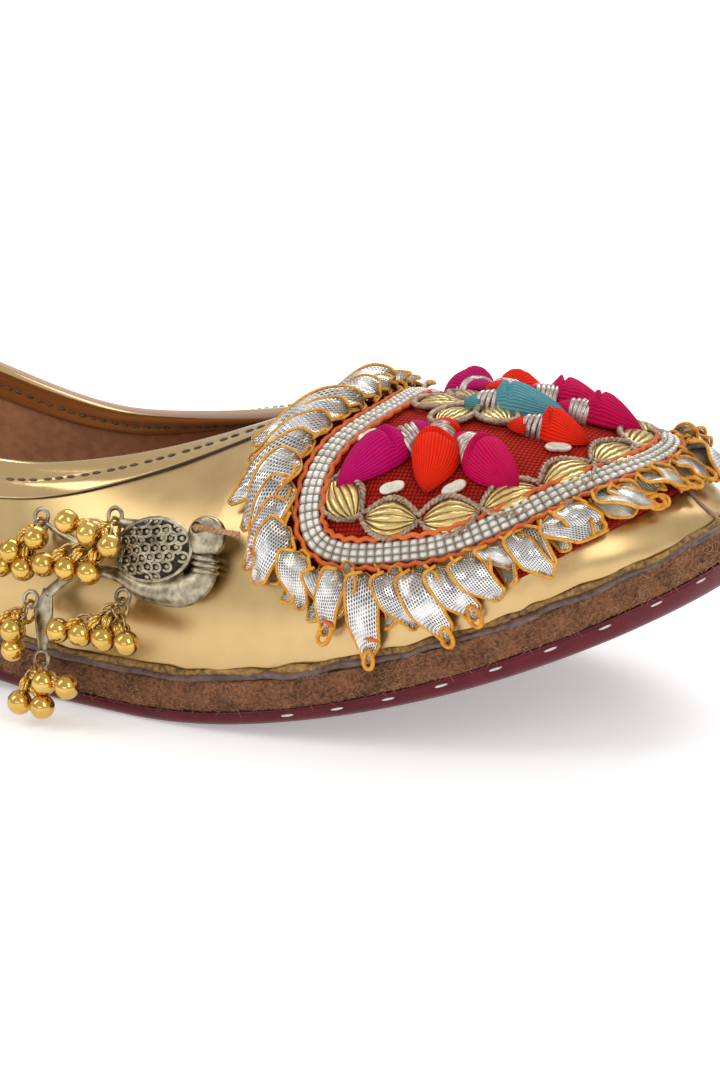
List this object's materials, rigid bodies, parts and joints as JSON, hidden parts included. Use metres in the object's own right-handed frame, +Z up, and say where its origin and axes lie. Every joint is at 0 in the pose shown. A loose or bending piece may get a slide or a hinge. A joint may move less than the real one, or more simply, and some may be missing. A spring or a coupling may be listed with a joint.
{
  "type": "mojari shoe",
  "caption": "Flat slip-on leather shoe with a curled toe, hollow foil-finished upper, embroidered and frilled vamp and a hanging bell charm.",
  "frame": {"origin": "middle of the heel's flat spot, on the floor", "axes": "+X towards the toe, +Y towards the inner side, +Z up"},
  "size_m": [0.2448, 0.0901, 0.0601],
  "materials": {
    "gold_foil_leather": "glossy metallic foil",
    "burgundy_leather": "glossy lacquered",
    "tan_suede": "raw fuzzy edge",
    "brown_lining": "matte",
    "red_embroidered_fabric": "woven, embroidered",
    "silver_gota_ribbon": "metallic woven ribbon",
    "magenta_fabric": "ribbed silk",
    "orange_fabric": "ribbed silk",
    "teal_fabric": "ribbed silk",
    "antique_pewter": "antiqued cast metal",
    "bell_brass": "polished"
  },
  "bodies": {
    "shoe": {"outsole": "burgundy_leather", "midsole": "tan_suede", "insole": "brown_lining", "upper": "gold_foil_leather", "vamp_patch": "red_embroidered_fabric", "gota_frill": "silver_gota_ribbon", "bud_purple_outer": "magenta_fabric", "bud_orange_outer": "orange_fabric", "bud_magenta_outer": "magenta_fabric", "bud_orange_front": "orange_fabric", "bud_magenta_front": "magenta_fabric", "bud_teal_middle": "teal_fabric", "bud_magenta_inner": "magenta_fabric", "bud_orange_inner": "orange_fabric", "bud_purple_inner": "magenta_fabric", "bird_charm": "antique_pewter"},
    "bells_wing": {"bells_wing": "bell_brass"},
    "bells_plume": {"bells_plume": "bell_brass"},
    "bells_belly": {"bells_belly": "bell_brass"},
    "bells_tail": {"bells_tail": "bell_brass"},
    "bells_hook": {"bells_hook": "bell_brass"}
  },
  "joints": [
    {"name": "bells_wing_swing", "type": "hinge", "parent": "shoe", "child": "bells_wing", "pos_m": [0.1051, -0.03132, 0.03642], "axis": [-0.9874, 0.158, 0], "range_deg": [0, 45]},
    {"name": "bells_plume_swing", "type": "hinge", "parent": "shoe", "child": "bells_plume", "pos_m": [0.08867, -0.02954, 0.03407], "axis": [-0.9874, 0.158, 0], "range_deg": [0, 45]},
    {"name": "bells_belly_swing", "type": "hinge", "parent": "shoe", "child": "bells_belly", "pos_m": [0.10877, -0.03683, 0.02276], "axis": [-0.9874, 0.158, 0], "range_deg": [0, 45]},
    {"name": "bells_tail_swing", "type": "hinge", "parent": "shoe", "child": "bells_tail", "pos_m": [0.08835, -0.03475, 0.01946], "axis": [-0.9874, 0.158, 0], "range_deg": [0, 45]},
    {"name": "bells_hook_swing", "type": "hinge", "parent": "shoe", "child": "bells_hook", "pos_m": [0.09223, -0.03893, 0.00957], "axis": [-0.9874, 0.158, 0], "range_deg": [0, 30]}
  ]
}
